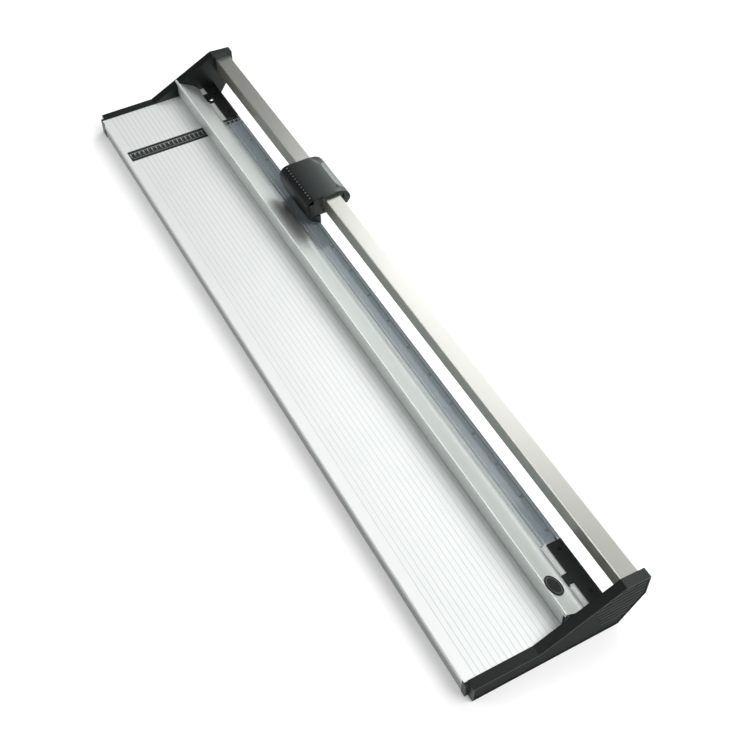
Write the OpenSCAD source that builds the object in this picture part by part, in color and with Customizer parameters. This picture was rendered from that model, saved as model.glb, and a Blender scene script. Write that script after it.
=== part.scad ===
// Rotary paper trimmer: a grooved table between two end brackets, a sprung clamp bar with a clear
// hold-down strip, and a cutting head that slides along a square rail.
// X runs along the cut, +Y points away from the user and +Z is up. The origin lies on the surface that
// the trimmer stands on, under the middle of its outline with the head at its rest place.
// The pieces are drawn with Y counted from the front of the brackets, and centred moves them to the origin.

/* [Overall] */
// Overall length over both end brackets
overall_l = 1600; // [1300:10:2000]
// Distance from the front of the brackets to the cutting line
cut_y = 273.6; // [268:0.2:300]
// Height of the table's top above the floor
table_top = 38.4; // [36:0.2:46]
// Height of the rubber feet below the brackets
foot_h = 1.2; // [0.8:0.1:2]

/* [End brackets] */
// Thickness of each end bracket
bracket_t = 19; // [17.5:0.5:24]
// Length of the low flat part at the front of a bracket
bracket_flat = 121; // [100:1:130]
// Height of that flat part above the table
bracket_rise = 1.6; // [0.6:0.2:3]
// Height of the bracket's top above the rail
rail_cover = 12.1; // [9:0.1:16]
// Distance from the rail to the back of the bracket
rail_margin = 6.8; // [6:0.1:12]
// Thickness of the bracket's inner plate
plate_t = 8.5; // [7.5:0.1:10]
// Thickness of the bracket's rim round its hollow
rim_t = 4.5; // [3.5:0.1:6]
// Thickness of the side cover that closes the hollow
cover_t = 2; // [1.6:0.1:2.6]
// Width of the rim that stays visible round the side cover
cover_inset = 2; // [1.6:0.1:2.6]
// Height of the side cover's ribs
rib_h = 1; // [0.6:0.1:1.1]
// Width of one rib
rib_w = 4.8; // [3:0.1:6]
// Distance between neighbouring ribs
rib_pitch = 10.6; // [8:0.1:13]

/* [Table] */
// Distance that the table reaches in front of the brackets
table_overhang = 7; // [5:0.5:12]
// Height of the table's underside above the floor
table_floor = 3; // [2.2:0.2:5]
// Thickness of the table's top skin
skin_t = 3.4; // [3:0.1:4.5]
// Thickness of the table's bottom skin
floor_t = 2.2; // [1.6:0.1:3]
// Thickness of the webs inside the table
web_t = 2.6; // [2:0.1:4]
// Distance from the table's front edge to its first groove
groove_margin = 22.3; // [15:0.1:40]
// Distance between the fine grooves
groove_pitch = 10; // [8:1:20]
// Width of a fine groove
groove_w = 0.9; // [0.5:0.1:1.5]
// Depth of a fine groove
groove_d = 0.6; // [0.3:0.1:1]
// Height of the channel along the table's front edge
channel_h = 4; // [2:0.2:6]
// Depth of that channel
channel_d = 3; // [1.5:0.1:3.5]

/* [Cutting edge] */
// Width of the steel counter blade
edge_w = 28.8; // [26:0.2:34]
// Thickness of the steel counter blade
edge_t = 4; // [3:0.1:5]
// Distance between the counter blade's screws
edge_screw_pitch = 78; // [60:0.5:100]
// Distance from the right end rest to the counter blade's first screw
edge_screw_margin = 24.4; // [12:0.2:40]

/* [End rests] */
// Length of the right end rest
rest_right_l = 142.6; // [125:0.2:160]
// Length of the left end rest
rest_left_l = 129.6; // [115:0.2:140]
// Height of the end rests above the table
rest_h = 3.2; // [2.6:0.1:4.4]
// Width of the right rest's tab
tab_right_w = 20; // [14:0.5:30]
// Width of the left rest's tab
tab_left_w = 34; // [24:0.5:38]
// Distance from the right bracket to the right rest's tab
tab_right_in = 82; // [60:0.5:100]
// Distance from the left bracket to the left rest's tab
tab_left_in = 27; // [20:0.5:40]
// Distance that a tab reaches in front of its rest
tab_reach = 15; // [11:0.1:17]

/* [Scale] */
// Width of the scale strip
scale_w = 34; // [26:0.5:40]
// Thickness of the scale strip
scale_t = 0.9; // [0.6:0.1:1.5]
// Distance from the left end rest to the scale strip
scale_gap = 1.4; // [0.8:0.1:10]

/* [Clamp] */
// Height of the gap for the sheet under the clamp bar
sheet_gap = 1.2; // [1:0.1:2]
// Distance that the clamp bar can be pressed down
clamp_travel = 0.9; // [0.3:0.1:0.9]
// Thickness of the clamp bar's wall
bar_t = 2.2; // [1.8:0.1:3]
// Depth of the clamp bar from front to back
bar_depth = 50; // [46:0.5:56]
// Height of the clamp bar's ridge over its foot
bar_h = 34.7; // [32:0.1:38]
// Distance from the clamp bar's back edge to the cutting line
bar_setback = 41.2; // [38:0.1:46]
// Thickness of the clear strip
strip_t = 2; // [1.5:0.1:2.6]
// Distance from the left end rest to the clear strip
strip_left_gap = 23.4; // [5:0.1:60]
// Distance from the clear strip to the right end rest
strip_right_gap = 6.4; // [1:0.1:20]
// Length of the round badge plug along the bar
badge_l = 40; // [30:0.5:46]
// Height of the badge plug up the slope
badge_w = 34; // [26:0.5:35]
// Distance from the right bracket to the middle of the badge plug
badge_in = 62; // [30:0.5:70]

/* [Rail] */
// Outer width and height of the square rail
rail_s = 34; // [32:0.5:38]
// Wall thickness of the rail
rail_wall = 2.6; // [2:0.1:4]
// Height of the rail's underside above the floor
rail_z = 70.9; // [70.9:0.1:80]
// Distance from the cutting line to the rail's front
rail_gap = 8.7; // [8.5:0.1:12]
// Depth of the pocket that holds each rail end
rail_pocket = 5; // [3:0.5:6]

/* [Cutting head] */
// Place of the head's middle along the cut, from the middle of the table
head_x = -298.4; // [-500:0.1:500]
// Length of the hood
hood_l = 123.2; // [122:0.1:150]
// Thickness of the hood's top
hood_t = 2.4; // [2:0.1:3]
// Distance from the hood's front to the rail's front
hood_front_reach = 42.3; // [40:0.1:48]
// Distance from the rail's back to the hood's back
hood_reach = 25.8; // [24.5:0.1:32]
// Thickness of the glide pads
pad_t = 1.6; // [1.2:0.1:2]
// Radius of the rotary blade
blade_r = 22.5; // [20:0.1:23]
// Depth that the blade reaches below the table's top
blade_dip = 2.5; // [1.5:0.1:3]
// Thickness of the rotary blade
blade_t = 1.6; // [1.2:0.1:2]
// Radius of the blade's axle
axle_r = 4; // [3:0.1:4.5]
// Radius of the press rollers
roller_r = 9; // [7:0.1:9.5]
// Width of the press rollers
roller_w = 9; // [6:0.1:10]

/* [Hidden] */
$fn = 64;

// Clearances
fit = 0.1;
slide_fit = 0.2;
bore_fit = 0.03;
blade_fit = 0.15;
roll_fit = 0.25;
guide_fit = 0.4;
over = 1;

// Colours of the pieces
black = "#23282a";
dark = "#33393a";
aluminium = "#ccd2d0";
steel = "#8f989d";
bright = "#dfe3e3";

// Places along the cut
half_l = overall_l / 2;
inner_x = half_l - bracket_t;
plate_x = inner_x + plate_t;
rest_right_x = inner_x - rest_right_l;
rest_left_x = -inner_x + rest_left_l;

// Places across the cut
table_y = -table_overhang;
edge_y = cut_y - edge_w;
rail_y = cut_y + rail_gap;
rail_back = rail_y + rail_s;
rail_mid_y = rail_y + rail_s / 2;
hood_back = rail_back + hood_reach;
bar_back = cut_y - bar_setback;
bar_front = bar_back - bar_depth;
y_mid = (hood_back + table_y) / 2;

// Heights
rail_top = rail_z + rail_s;
rail_mid_z = rail_z + rail_s / 2;
front_h = table_top + bracket_rise;
edge_z = table_top - edge_t;
rest_top = table_top + rest_h;
bar_z = table_top + sheet_gap;
strip_top = bar_z + strip_t;

module centred() {
    translate([0, -y_mid, 0]) children();
}

// Extrudes an outline given in Y and Z along X
module along_x(x0, x1) {
    translate([x0, 0, 0]) rotate([90, 0, 90]) linear_extrude(height = x1 - x0) children();
}

module box(low, high) {
    translate(low) cube(high - low);
}

module rod_x(x0, x1, y, z, r) {
    translate([x0, y, z]) rotate([0, 90, 0]) cylinder(h = x1 - x0, r = r);
}

module rod_y(x, y0, y1, z, r) {
    translate([x, y0, z]) rotate([-90, 0, 0]) cylinder(h = y1 - y0, r = r);
}

module both_ends() {
    children();
    mirror([1, 0, 0]) children();
}

// Moves each edge of an outline inwards by d; the outline runs counterclockwise
function unit(v) = v / norm(v);
function left_of(v) = [-v[1], v[0]];
function inset_corner(a, b, c, d) =
    let (m = left_of(unit(b - a)), n = left_of(unit(c - b)))
    b + d * (m + n) / (1 + m * n);
function inset(p, d) =
    let (n = len(p))
    [for (i = [0 : n - 1]) inset_corner(p[(i + n - 1) % n], p[i], p[(i + 1) % n], d)];

// End brackets
foot_reach = 5.7;
rail_sill = 5.3;
back_drop = 3;
slope_lead = 6.3;
bracket_h = rail_top + rail_cover;
bracket_back = rail_back + rail_margin;
bracket_outline = [
    [0, foot_h],
    [cut_y + foot_reach, foot_h],
    [bracket_back, rail_z - rail_sill],
    [bracket_back, bracket_h - back_drop],
    [rail_y - slope_lead, bracket_h],
    [bracket_flat, front_h],
    [0, front_h]
];
cover_relief = rib_h + 0.2;
cover_seat_x = half_l - cover_relief - cover_t;
peg_r = 3;
peg_depth = 3;
peg_margin = 24;
peg_places = [
    [0.12 * cut_y, table_top / 2],
    [0.55 * cut_y, table_top / 2],
    [rail_y - peg_margin, rail_z - 4],
    [rail_y + 3, rail_z - peg_margin]
];
bolt_r = 4;
bolt_head_r = 6.5;
bolt_head_h = 5;
screw_r = 2.5;
screw_head_r = 4.5;
screw_head_h = 4;
foot_w = 13;
foot_l = 60;
foot_recess = 1.5;
foot_inset = 42;
foot_places = [foot_inset, cut_y - foot_inset];

module foot_shape(y, w, l, z0, z1) {
    x = (inner_x + half_l) / 2;
    box([x - w / 2, y - l / 2 + w / 2, z0], [x + w / 2, y + l / 2 - w / 2, z1]);
    for (side = [-1, 1])
        translate([x, y + side * (l - w) / 2, z0]) cylinder(h = z1 - z0, r = w / 2);
}

module bracket() {
    difference() {
        along_x(inner_x, half_l) polygon(bracket_outline);
        along_x(plate_x, half_l) polygon(inset(bracket_outline, rim_t));
        along_x(cover_seat_x, half_l + over) polygon(inset(bracket_outline, cover_inset));
        box([inner_x - over, rail_y - fit, rail_z - fit],
            [inner_x + rail_pocket, rail_back + fit, rail_top + fit]);
        rod_x(inner_x - over, plate_x + over, rail_mid_y, rail_mid_z, bolt_r + fit);
        for (y = web_places)
            rod_x(inner_x - over, plate_x + over, y, web_bolt_z, screw_r + fit);
        for (p = peg_places)
            rod_x(plate_x - peg_depth - fit, plate_x + over, p[0], p[1], peg_r + fit);
        for (y = foot_places)
            foot_shape(y, foot_w + 2 * fit, foot_l + 2 * fit, foot_h - over, foot_h + foot_recess);
    }
}

// The clamp bar's front wall passes through a notch in the left bracket
notch_room = 3.8;
module left_bracket() {
    color(black) centred() difference() {
        mirror([1, 0, 0]) bracket();
        box([-cover_seat_x - fit, bar_front - guide_fit, bar_z - clamp_travel - guide_fit],
            [-inner_x + over, bar_front + bar_t + notch_room, bracket_h]);
    }
}

module right_bracket() {
    color(black) centred() difference() {
        bracket();
        box([inner_x - over, tongue_y0 - guide_fit, tongue_z0 - clamp_travel - guide_fit],
            [inner_x + tongue_l + guide_fit, tongue_y1 + guide_fit, tongue_z1 + guide_fit]);
    }
}

// The ribs fill the rear part of a side cover
rib_low = 25.2;
rib_margin = 4;
rib_field = inset(bracket_outline, cover_inset + rib_margin);
rib_foot = 31;
rib_lean = 31;
rib_line = [[cut_y - rib_foot, rib_low], [cut_y - rib_foot - rib_lean, bracket_h]];
rib_area = [
    rib_line[0],
    [bracket_back, rib_low],
    [bracket_back, bracket_h],
    rib_line[1]
];

module side_cover() {
    along_x(cover_seat_x, half_l - cover_relief)
        polygon(inset(bracket_outline, cover_inset + fit));
    along_x(half_l - cover_relief, half_l - cover_relief + rib_h)
        intersection() {
            polygon(rib_field);
            polygon(rib_area);
            union()
                for (z = [rib_low : rib_pitch : bracket_h])
                    translate([0, z]) square([bracket_back, rib_w]);
        }
    for (p = peg_places)
        rod_x(plate_x - peg_depth, cover_seat_x, p[0], p[1], peg_r);
}

module left_side_cover() {
    color(dark) centred() mirror([1, 0, 0]) side_cover();
}

module right_side_cover() {
    color(dark) centred() side_cover();
}

module rubber_feet() {
    color("#151819") centred() both_ends()
        for (y = foot_places) foot_shape(y, foot_w, foot_l, 0, foot_h + foot_recess);
}

// Table, a hollow extrusion
edge_bevel = 1.2;
channel_z = 0.59 * table_top;
lower_step = 1;
front_wall = 6.5;
rear_wall = 3;
rear_step = 1.6;
table_back = cut_y - rear_step;
cell_z = table_floor + floor_t;
web_count = 3;
cell_y0 = table_y + front_wall;
cell_y1 = edge_y - web_t / 2;
web_pitch = (cell_y1 - cell_y0 + web_t) / (web_count + 1);
web_places = [for (i = [1 : web_count]) cell_y0 - web_t / 2 + i * web_pitch];
web_bolt_z = (table_floor + table_top) / 2;
boss_r = 4.8;
bolt_fit_depth = 24;
table_outline = [
    [table_y + lower_step, table_floor],
    [table_back, table_floor],
    [table_back, edge_z],
    [edge_y, edge_z],
    [edge_y, table_top],
    [table_y + edge_bevel, table_top],
    [table_y, table_top - edge_bevel],
    [table_y, channel_z + channel_h],
    [table_y + channel_d, channel_z + channel_h],
    [table_y + channel_d, channel_z],
    [table_y + lower_step, channel_z]
];
groove_last = bar_back - 14;
ridge_w = 1.8;
ridge_d = 0.5;
ridge_places = [for (step = [14.6, 9.9, 5.2]) edge_y - step];
cap_l = 7;
cap_wrap_right = 4;
cap_wrap_left = 16;
cap_sink = 1.5;
access_r = 9;
pin_end = 26;
pin_x = inner_x - pin_end;
pin_y = bar_front + 17.6;
bush_r = 5;
tap_r = 2;

module table_section() {
    difference() {
        polygon(table_outline);
        for (i = [0 : web_count])
            translate([cell_y0 + i * web_pitch, cell_z])
                square([web_pitch - web_t, table_top - skin_t - cell_z]);
        translate([edge_y + web_t / 2, cell_z])
            square([table_back - rear_wall - edge_y - web_t / 2, edge_z - skin_t - cell_z]);
        for (y = [table_y + groove_margin : groove_pitch : groove_last])
            translate([y - groove_w / 2, table_top - groove_d]) square([groove_w, groove_d + over]);
        for (y = ridge_places)
            translate([y, table_top - ridge_d]) square([ridge_w, ridge_d + over]);
    }
}

module baseboard() {
    color(aluminium) centred() difference() {
        union() {
            along_x(-inner_x, inner_x) table_section();
            for (y = web_places) rod_x(-inner_x, inner_x, y, web_bolt_z, boss_r);
        }
        for (y = web_places) rod_x(-inner_x - over, inner_x + over, y, web_bolt_z, screw_r + bore_fit);
        scale_room();
        edge_screw_places() cylinder(h = skin_t + 2 * over, r = tap_r + bore_fit);
        rest_screw_places() cylinder(h = skin_t + 2 * over, r = tap_r + bore_fit);
        translate([stud_x, stud_y, table_top - skin_t - over])
            cylinder(h = skin_t + 2 * over, r = tap_r + bore_fit);
        both_ends() {
            translate([pin_x, pin_y, table_top - skin_t - over])
                cylinder(h = skin_t + 2 * over, r = bush_r + bore_fit);
            translate([pin_x, pin_y, table_floor - over]) cylinder(h = floor_t + 2 * over, r = access_r);
        }
        box([inner_x - cap_wrap_right - fit, table_y - over, table_floor - over],
            [inner_x + over, table_y + cap_sink, table_top + over]);
        box([-inner_x - over, table_y - over, table_floor - over],
            [-inner_x + cap_wrap_left + fit, table_y + cap_sink, table_top + over]);
    }
}

module corner_cap(wrap) {
    box([inner_x, table_y, table_floor], [inner_x + cap_l, -fit, table_top]);
    box([inner_x - wrap, table_y, table_floor], [inner_x + over, table_y + cap_sink, table_top]);
}

module left_corner_cap() {
    color(black) centred() mirror([1, 0, 0]) corner_cap(cap_wrap_left);
}

module right_corner_cap() {
    color(black) centred() corner_cap(cap_wrap_right);
}

module baseboard_bolts() {
    color(steel) centred() both_ends()
        for (y = web_places) {
            rod_x(inner_x - bolt_fit_depth, plate_x + over, y, web_bolt_z, screw_r);
            difference() {
                rod_x(plate_x, plate_x + screw_head_h, y, web_bolt_z, screw_head_r);
                translate([plate_x + screw_head_h / 2, y, web_bolt_z]) rotate([0, 90, 0])
                    cylinder(h = screw_head_h, r = screw_r, $fn = 6);
            }
        }
}

// Counter blade and its screws
edge_screw_y = cut_y - 12;
head_r = 3.8;
head_h = 2;
screw_l = 9;
edge_relief = 1.2;
edge_outline = [
    [edge_y + fit, edge_z],
    [cut_y - edge_relief, edge_z],
    [cut_y, edge_z + edge_relief],
    [cut_y, table_top],
    [edge_y + fit, table_top]
];

// The child stands on the underside of the top skin at each screw of the counter blade
module edge_screw_places() {
    for (x = [rest_right_x - edge_screw_margin : -edge_screw_pitch : scale_x + scale_w + edge_screw_margin])
        translate([x, edge_screw_y, edge_z - skin_t - over]) children();
}

module sunk_head_room(z) {
    translate([0, 0, z - head_h]) cylinder(h = head_h, r1 = tap_r + fit, r2 = head_r + fit);
    translate([0, 0, z - fit / 2]) cylinder(h = over, r = head_r + fit);
}

module sunk_screw(z, l) {
    difference() {
        union() {
            translate([0, 0, z - head_h - fit / 2]) cylinder(h = head_h, r1 = tap_r, r2 = head_r);
            translate([0, 0, z - l]) cylinder(h = l - head_h, r = tap_r);
        }
        for (turn = [0, 90])
            rotate([0, 0, turn]) box([-2.2, -0.45, z - 1.3], [2.2, 0.45, z + over]);
    }
}

module counter_blade() {
    color(steel) centred() difference() {
        along_x(-inner_x, inner_x) polygon(edge_outline);
        edge_screw_places() {
            cylinder(h = skin_t + edge_t + 2 * over, r = tap_r + fit);
            sunk_head_room(skin_t + edge_t + over);
        }
        rest_screw_places() cylinder(h = skin_t + edge_t + 2 * over, r = tap_r + fit);
        scale_room();
    }
}

module counter_blade_screws() {
    color(bright) centred() edge_screw_places() sunk_screw(skin_t + edge_t + over, screw_l);
}

// End rests beside the cutting length
rest_y0 = edge_y - 1.2;
rest_y1 = cut_y - 1.3;
tab_right_x = inner_x - tab_right_in;
tab_left_x = -inner_x + tab_left_in;
tab_front = rest_y0 - tab_reach;
hook_w = 4;
hook_l = 5;
rest_screw_end = 36;
rest_screw_inset = 17;
rest_screw_y = (rest_y0 + rest_y1) / 2;
stud_x = tab_left_x + tab_left_w - 8;
stud_y = rest_y0 - 3;
stud_r = 3.8;
stud_h = 2.2;

module rest_screw_places() {
    for (x = [inner_x - rest_screw_end, rest_right_x + rest_screw_inset,
              -inner_x + rest_screw_end, rest_left_x - rest_screw_inset])
        translate([x, rest_screw_y, edge_z - skin_t - over]) children();
}

module rest_cuts() {
    rest_screw_places() {
        cylinder(h = skin_t + edge_t + rest_h + 2 * over, r = tap_r + fit);
        sunk_head_room(skin_t + edge_t + rest_h + over);
    }
}

module right_end_rest() {
    color(black) centred() difference() {
        union() {
            box([rest_right_x, rest_y0, table_top], [inner_x, rest_y1, rest_top]);
            box([tab_right_x, tab_front, table_top], [tab_right_x + tab_right_w, rest_y0 + over, rest_top]);
            box([tab_right_x, tab_front, table_top],
                [tab_right_x + tab_right_w + hook_w, tab_front + hook_l, rest_top]);
        }
        rest_cuts();
    }
}

module left_end_rest() {
    color(black) centred() difference() {
        union() {
            box([-inner_x, rest_y0, table_top], [rest_left_x, rest_y1, rest_top]);
            box([tab_left_x, tab_front, table_top], [tab_left_x + tab_left_w, rest_y0 + over, rest_top]);
        }
        rest_cuts();
        translate([stud_x, stud_y, table_top - over]) cylinder(h = rest_h + 2 * over, r = tap_r + fit);
    }
}

module end_rest_screws() {
    color(dark) centred() rest_screw_places()
        sunk_screw(skin_t + edge_t + rest_h + over, screw_l + rest_h);
}

// Domed screw on the left tab
module tab_stud() {
    dome_r = (stud_r * stud_r + stud_h * stud_h) / (2 * stud_h);
    color(bright) centred() translate([stud_x, stud_y, 0]) {
        intersection() {
            translate([0, 0, rest_top + stud_h - dome_r]) sphere(r = dome_r);
            translate([0, 0, rest_top]) cylinder(h = stud_h + over, r = stud_r + over);
        }
        translate([0, 0, rest_top + over / 2 - screw_l]) cylinder(h = screw_l, r = tap_r);
    }
}

// Scale strip, let into the table and the counter blade
scale_x = rest_left_x + scale_gap;
scale_y0 = 2.3;
scale_y1 = cut_y - 3.6;
scale_proud = 0.1;
module scale_room() {
    box([scale_x - fit, scale_y0 - fit, table_top - scale_t + scale_proud],
        [scale_x + scale_w + fit, scale_y1 + fit, table_top + over]);
}

module scale_strip() {
    color(dark) centred()
        box([scale_x, scale_y0, table_top - scale_t + scale_proud],
            [scale_x + scale_w, scale_y1, table_top + scale_proud]);
}

// Clamp bar: an upright front wall, a slope that curves down to a foot, and the clear strip under it
wall_top = 0.888 * bar_h;
ridge_y = bar_front + 2.3;
ridge_z = bar_z + bar_h;
curve_turn = 27;
curve_r = 60;
curve_start = 27;
curve_steps = 10;
function curve_point(a) = [
    bar_back - curve_r * (sin(curve_start + curve_turn) - sin(a)),
    strip_top + curve_r * (cos(a) - cos(curve_start + curve_turn))
];
curve_points = [for (i = [0 : curve_steps]) curve_point(curve_start + i * curve_turn / curve_steps)];
slope_end = curve_points[0];
slope_angle = atan2(ridge_z - slope_end[1], slope_end[0] - ridge_y);
function slope_z(y) = ridge_z - (y - ridge_y) * tan(slope_angle);
function under_slope(y) = slope_z(y) - bar_t / cos(slope_angle);
jaw_w = 4;
jaw_y = bar_back - 10.8;
inner_y0 = bar_front + bar_t;
inner_y1 = jaw_y - jaw_w;
foot_thicken = 1.2;
function inner_z(y) = under_slope(y) - foot_thicken * (y - inner_y0) / (inner_y1 - inner_y0);
bar_outline = concat(
    [
        [bar_front, bar_z],
        [inner_y0, bar_z],
        [inner_y0, inner_z(inner_y0)],
        [inner_y1, inner_z(inner_y1)],
        [inner_y1, bar_z],
        [jaw_y, bar_z],
        [jaw_y, strip_top]
    ],
    [for (i = [curve_steps : -1 : 0]) curve_points[i]],
    [
        [ridge_y, ridge_z],
        [bar_front, bar_z + wall_top]
    ]
);
bar_left_x = -cover_seat_x + guide_fit;
bar_right_x = inner_x - 5;
wall_right_x = inner_x - 10;
tab_room = 0.9;
badge_x = inner_x - badge_in;
badge_down = 17.2;
badge_t = 1.6;
badge_boss_r = 5;
badge_boss_l = bar_t + 2;

// Sets the child on the slope, with its Z square to the slope
module on_slope(x, down) {
    translate([x, ridge_y + down * cos(slope_angle), ridge_z - down * sin(slope_angle)])
        rotate([-slope_angle, 0, 0]) children();
}

module clamp_bar() {
    color(aluminium) centred() difference() {
        along_x(bar_left_x, bar_right_x) polygon(bar_outline);
        box([bar_left_x - over, bar_front + bar_t + notch_room - 2 * guide_fit, 0],
            [-inner_x + guide_fit, cut_y, bracket_h]);
        box([wall_right_x, 0, 0], [inner_x, bar_front + bar_t + fit, bar_z + wall_top - bar_t]);
        box([tab_right_x - tab_room, tab_front - tab_room, 0],
            [tab_right_x + tab_right_w + hook_w + tab_room, cut_y, bracket_h]);
        box([tab_left_x - tab_room, tab_front - tab_room, 0],
            [tab_left_x + tab_left_w + tab_room, cut_y, bracket_h]);
        on_slope(badge_x, badge_down) translate([0, 0, -3 * bar_t])
            cylinder(h = 4 * bar_t, r = badge_boss_r + bore_fit);
    }
}

// Clear strip, cemented under the bar's foot
strip_x0 = rest_left_x + strip_left_gap;
strip_x1 = rest_right_x - strip_right_gap;
strip_skew = 6;
strip_back = cut_y - 1.4;
module clear_strip() {
    color("#a9bcc6", 0.45) centred() translate([0, 0, bar_z]) linear_extrude(height = strip_t)
        polygon([
            [strip_x0, jaw_y],
            [strip_x1 + strip_skew, jaw_y],
            [strip_x1 + strip_skew, bar_back + 4],
            [strip_x1, bar_back + 14],
            [strip_x1, strip_back],
            [strip_x0, strip_back]
        ]);
}

function oval(l, w, n) = [for (i = [0 : n - 1]) [l / 2 * cos(360 * i / n), w / 2 * sin(360 * i / n)]];
badge_sides = 72;
badge_rim = 1.4;
badge_recess = 0.5;
module badge_plug() {
    color(black) centred() on_slope(badge_x, badge_down) {
        difference() {
            linear_extrude(height = badge_t) polygon(oval(badge_l, badge_w, badge_sides));
            translate([0, 0, badge_t - badge_recess]) linear_extrude(height = over)
                polygon(oval(badge_l - 2 * badge_rim, badge_w - 2 * badge_rim, badge_sides));
        }
        translate([0, 0, -badge_boss_l]) cylinder(h = badge_boss_l + badge_t / 2, r = badge_boss_r);
    }
}

// Guides of the clamp bar: blocks under its ends, pins in bushes, springs and stop clips
block_l = 26;
block_y0 = pin_y - 10;
block_y1 = pin_y + 10;
block_z = table_top + 7.6;
pin_r = 3;
pin_top = block_z + 11;
pin_low = table_top - 14;
clip_t = 1.2;
clip_r = 6.5;
clip_groove = 0.4;
clip_z = table_top - skin_t - 0.3 - clip_t;

module clamp_guide_blocks() {
    color(black) centred() both_ends() difference() {
        along_x(pin_x - block_l / 2, pin_x + block_l / 2)
            polygon([
                [block_y0, block_z],
                [block_y1, block_z],
                [block_y1, inner_z(block_y1)],
                [block_y0, inner_z(block_y0)]
            ]);
        translate([pin_x, pin_y, block_z - over]) cylinder(h = pin_top - block_z + over, r = pin_r + bore_fit);
    }
}

module clamp_guide_pins() {
    color(steel) centred() both_ends() difference() {
        translate([pin_x, pin_y, pin_low]) cylinder(h = pin_top - pin_low, r = pin_r);
        translate([pin_x, pin_y, clip_z]) difference() {
            cylinder(h = clip_t, r = pin_r + over);
            translate([0, 0, -over]) cylinder(h = clip_t + 2 * over, r = pin_r - clip_groove);
        }
    }
}

module clamp_stop_clips() {
    color(steel) centred() both_ends() translate([pin_x, pin_y, clip_z + bore_fit]) difference() {
        cylinder(h = clip_t - 2 * bore_fit, r = clip_r);
        translate([0, 0, -over]) cylinder(h = clip_t + 2 * over, r = pin_r - clip_groove + bore_fit);
    }
}

module clamp_pin_bushes() {
    color("#b59b5a") centred() both_ends() translate([pin_x, pin_y, table_top - skin_t]) difference() {
        cylinder(h = skin_t, r = bush_r);
        translate([0, 0, -over]) cylinder(h = skin_t + 2 * over, r = pin_r + 0.05);
    }
}

// Spring: a tube wound along a helix
spring_r = 4.6;
wire_r = 0.45;
spring_curls = 4;
curl_rings = 8;
wire_sides = 6;
spring_end_gap = 0.05;
spring_z0 = table_top + wire_r + spring_end_gap;
spring_z1 = block_z - wire_r - spring_end_gap;
spring_pitch = (spring_z1 - spring_z0) / spring_curls;
function helix(i) = [
    spring_r * cos(360 * i / curl_rings),
    spring_r * sin(360 * i / curl_rings),
    spring_z0 + i * spring_pitch / curl_rings
];
function wire_point(i, k) =
    let (a = 360 * i / curl_rings, b = 360 * k / wire_sides, c = helix(i))
    [c[0] + wire_r * cos(b) * cos(a), c[1] + wire_r * cos(b) * sin(a), c[2] + wire_r * sin(b)];
spring_rings = spring_curls * curl_rings;
spring_points = [for (i = [0 : spring_rings], k = [0 : wire_sides - 1]) wire_point(i, k)];
function ring_index(i, k) = i * wire_sides + k % wire_sides;
spring_faces = concat(
    [for (i = [0 : spring_rings - 1], k = [0 : wire_sides - 1])
        each [
            [ring_index(i, k), ring_index(i, k + 1), ring_index(i + 1, k)],
            [ring_index(i, k + 1), ring_index(i + 1, k + 1), ring_index(i + 1, k)]
        ]],
    [for (k = [1 : wire_sides - 2]) [0, k + 1, k]],
    [for (k = [1 : wire_sides - 2])
        [ring_index(spring_rings, 0), ring_index(spring_rings, k), ring_index(spring_rings, k + 1)]]
);
spring_gap = min([for (i = [0 : spring_rings - curl_rings]) norm(helix(i + curl_rings) - helix(i))])
    - 2 * wire_r;
echo(spring_gap = spring_gap);

module clamp_springs() {
    color(steel) centred() both_ends()
        translate([pin_x, pin_y, 0]) polyhedron(points = spring_points, faces = spring_faces);
}

// Black slider on the bar's right end; its tongue runs in the right bracket
tongue_l = 5;
tongue_y0 = bar_front + bar_t + fit;
tongue_y1 = tongue_y0 + 4.4;
tongue_z0 = block_z + 4;
tongue_z1 = inner_z(tongue_y1) - 3;
module clamp_end_cap() {
    color(black) centred() {
        along_x(pin_x + block_l / 2, inner_x - guide_fit)
            polygon([
                [tongue_y0, tongue_z0],
                [tongue_y1, tongue_z0],
                [tongue_y1, inner_z(tongue_y1)],
                [tongue_y0, inner_z(tongue_y0)]
            ]);
        box([inner_x - over, tongue_y0, tongue_z0], [inner_x + tongue_l, tongue_y1, tongue_z1]);
        along_x(bar_right_x + fit, inner_x - guide_fit)
            polygon([
                [bar_front + 0.4, tongue_z0],
                [tongue_y1, tongue_z0],
                [tongue_y1, slope_z(tongue_y1) - 0.4],
                [ridge_y, ridge_z - 0.4],
                [bar_front + 0.4, bar_z + wall_top - 0.4]
            ]);
    }
}

// Rail
rail_inner = rail_s - 2 * rail_wall;
rail_end = inner_x + rail_pocket - fit;
rail_edge = 1.2;
plug_l = 30;
plug_fit = 0.1;
module rail_outline(s, c) {
    polygon([[c, 0], [s - c, 0], [s, c], [s, s - c], [s - c, s], [c, s], [0, s - c], [0, c]]);
}

module guide_rail() {
    color("#b9b8b0") centred() along_x(-rail_end, rail_end) translate([rail_y, rail_z]) difference() {
        rail_outline(rail_s, rail_edge);
        translate([rail_wall, rail_wall]) square(rail_inner);
    }
}

module rail_end_plugs() {
    inset_y = rail_y + rail_wall + plug_fit;
    inset_z = rail_z + rail_wall + plug_fit;
    size = rail_inner - 2 * plug_fit;
    color(aluminium) centred() both_ends() difference() {
        box([rail_end - plug_l, inset_y, inset_z], [rail_end, inset_y + size, inset_z + size]);
        rod_x(rail_end - plug_l - over, rail_end + over, rail_mid_y, rail_mid_z, bolt_r + bore_fit);
    }
}

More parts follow.
